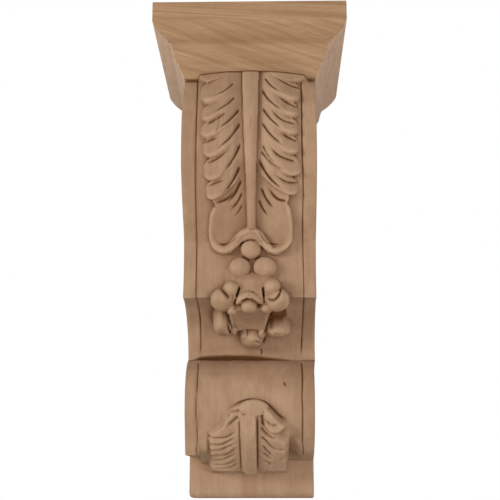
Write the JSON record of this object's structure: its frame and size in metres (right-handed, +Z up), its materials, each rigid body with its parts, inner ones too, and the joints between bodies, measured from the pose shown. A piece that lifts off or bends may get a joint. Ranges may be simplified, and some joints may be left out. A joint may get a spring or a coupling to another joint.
{
  "type": "wooden corbel bracket",
  "caption": "Carved wooden corbel with a moulded cap and a scrolled body, fixed to a wall to carry a shelf, mantel or worktop.",
  "frame": {"origin": "on the flat back face that meets the wall, on its centre line and near its middle", "axes": "+Z up, +Y out of the back face into the wall, +X to the right of a viewer facing the front"},
  "size_m": [0.143, 0.1536, 0.353],
  "materials": {
    "cap_wood": "bare sanded wood, grain across the front",
    "body_wood": "bare carved wood, upright grain, tool marks"
  },
  "bodies": {
    "root": {"cap_block": "cap_wood", "carved_body": "body_wood"}
  },
  "joints": []
}
